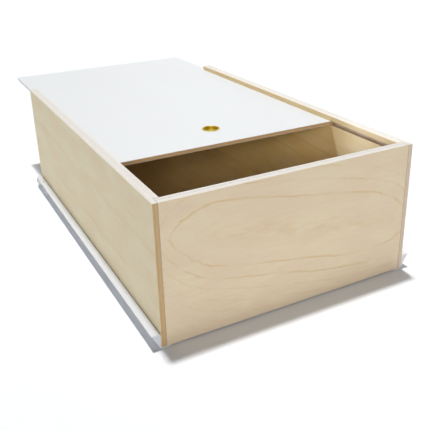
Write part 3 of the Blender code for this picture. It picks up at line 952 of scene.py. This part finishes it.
def screw_shape(number):
    """One left-hand pan-head screw with a cross recess in its head."""
    low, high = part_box(f"left_runner_screw_{number}")
    centre = (low + high) / 2
    half = (high.x - low.x) / 2
    head_radius = (high.z - low.z) / 2
    seat = half - SCREW_HEAD
    profile = [
        (-half, 0), (SCREW_TIP - half, SCREW_SHANK), (seat, SCREW_SHANK), (seat, head_radius),
        (seat + HEAD_SIDE * SCREW_HEAD, head_radius),
        (half - HEAD_DROP * SCREW_HEAD, HEAD_SHOULDER * head_radius),
        (half, HEAD_FLAT * head_radius), (half, 0),
    ]
    softened = rounded(profile, SCREW_ROUNDING, steps=5)
    shape = turned(softened, (-1, 0, 0), centre, TURNED_SEGMENTS)
    floor_x = low.x + RECESS_DEPTH
    cuts = []
    for half_y, half_z in ((RECESS_WIDTH, RECESS_LENGTH), (RECESS_LENGTH, RECESS_WIDTH)):
        near = (low.x - PAST, centre.y - half_y / 2, centre.z - half_z / 2)
        cuts.append(block(near, (floor_x, centre.y + half_y / 2, centre.z + half_z / 2)))
    well = [
        (-RECESS_DEPTH, 0), (0, RECESS_WIDTH * WELL_FLOOR),
        (2 * RECESS_DEPTH, RECESS_WIDTH * WELL_MOUTH), (2 * RECESS_DEPTH, 0),
    ]
    cuts.append(turned(well, (-1, 0, 0), (floor_x, centre.y, centre.z), CUT_SEGMENTS))
    return combined(shape, cuts, "DIFFERENCE")


def pair(shape, name, body, node, material):
    """The left piece, and the right one as its mirror. {} in a name is left or right."""
    for side, made in (("left", shape.copy()), ("right", flipped(shape))):
        piece(name.format(side), made, body.format(side), [node.format(side)], [material])
    shape.free()


def make_runners():
    """Both runners with their rollers, axle pins and screws."""
    paint = painted_steel()
    nylon = moulded_nylon()
    zinc = zinc_plate()
    pair(runner_shape(), "painted_{}_runner", "box", "{}_runner", paint)
    pair(roller_shape(), "nylon_{}_roller", "{}_wheel", "{}_roller", nylon)
    pair(pin_shape(), "plated_{}_pin", "box", "{}_roller_pin", zinc)
    for number in range(1, SCREWS + 1):
        node = "{}_runner_screw_" + str(number)
        pair(screw_shape(number), "plated_" + node, "box", node, zinc)


# ---------------------------------------------------------------- stage

def lamp_from(name, data, towards):
    """A lamp with these settings that shines from the direction towards."""
    lamp = bpy.data.objects.new(name, data)
    lamp.rotation_mode = "QUATERNION"
    lamp.rotation_quaternion = Vector(towards).to_track_quat("Z", "Y")
    bpy.context.scene.collection.objects.link(lamp)
    return lamp


def sun(name, towards, strength, softness):
    """A far light whose shadows are softened by softness degrees."""
    data = bpy.data.lights.new(name, "SUN")
    data.energy = strength
    data.angle = math.radians(softness)
    lamp_from(name, data, towards)


def spot(
    name, target, towards, distance,
    power, width, blend, softness, colour, lit,
):
    """A lamp at this distance from target, with a beam of width degrees.

    Where lit names pieces, the lamp lights only those.
    """
    data = bpy.data.lights.new(name, "SPOT")
    data.energy = power
    data.color = colour
    data.spot_size = math.radians(width)
    data.spot_blend = blend
    data.shadow_soft_size = softness
    lamp = lamp_from(name, data, towards)
    lamp.location = Vector(target) + Vector(towards).normalized() * distance
    if lit:
        receivers = bpy.data.collections.new(name + "_receivers")
        for piece_name in lit:
            receivers.objects.link(bpy.data.objects[piece_name])
        lamp.light_linking.receiver_collection = receivers


def make_floor():
    """A wide, plain pale floor."""
    shape = bmesh.new()
    bmesh.ops.create_grid(shape, x_segments=4, y_segments=4, size=FLOOR_HALF)
    floor = as_object("studio_floor", shape)
    nodes = Nodes("studio_paper")
    paper = nodes.finish(FLOOR_PAPER, 0.9, Specular_IOR_Level=0.0)
    floor.data.materials.append(paper)


def make_air():
    """Soft light from all round, behind which the backdrop shows plain white."""
    world = bpy.data.worlds.new("studio_air")
    world.use_nodes = True
    bpy.context.scene.world = world
    tree = world.node_tree
    air = tree.nodes["Background"]
    air.inputs["Color"].default_value = AIR_COLOUR
    air.inputs["Strength"].default_value = AIR_LIGHT
    backdrop = tree.nodes.new("ShaderNodeBackground")
    backdrop.inputs["Color"].default_value = AIR_COLOUR
    rays = tree.nodes.new("ShaderNodeLightPath")
    chosen = tree.nodes.new("ShaderNodeMixShader")
    tree.links.new(rays.outputs["Is Camera Ray"], chosen.inputs[0])
    tree.links.new(air.outputs[0], chosen.inputs[1])
    tree.links.new(backdrop.outputs[0], chosen.inputs[2])
    tree.links.new(chosen.outputs[0], tree.nodes["World Output"].inputs["Surface"])


def make_lamps():
    """The suns, and the lamps that are aimed at one part of the box."""
    for settings in SUNS:
        sun(*settings)
    for settings in SPOTS:
        spot(*settings)


def make_camera():
    """The camera, turned to the side, height and roll that the box is seen from."""
    azimuth = math.radians(CAMERA_AZIMUTH)
    elevation = math.radians(CAMERA_ELEVATION)
    roll = math.radians(CAMERA_ROLL)
    flat = math.cos(elevation)
    back = Vector((math.sin(azimuth) * flat, -math.cos(azimuth) * flat, math.sin(elevation)))
    level_right = Vector((math.cos(azimuth), math.sin(azimuth), 0))
    level_up = back.cross(level_right)
    right = level_right * math.cos(roll) + level_up * math.sin(roll)
    up = level_up * math.cos(roll) - level_right * math.sin(roll)
    data = bpy.data.cameras.new("camera")
    data.lens = CAMERA_LENS
    data.sensor_width = 36
    data.shift_y = CAMERA_SHIFT_Y
    data.clip_start = 0.05
    data.clip_end = 60
    camera = bpy.data.objects.new("camera", data)
    turn = Matrix((right, up, back)).transposed().to_4x4()
    camera.matrix_world = Matrix.Translation(CAMERA_TARGET + back * CAMERA_DISTANCE) @ turn
    bpy.context.scene.collection.objects.link(camera)
    bpy.context.scene.camera = camera


# ---------------------------------------------------------------- the whole scene

routed_wood = routed("routed_birch")
make_panels()
make_lid()
make_runners()
make_floor()
make_air()
make_lamps()
make_camera()
bpy.context.scene.view_settings.view_transform = "Standard"
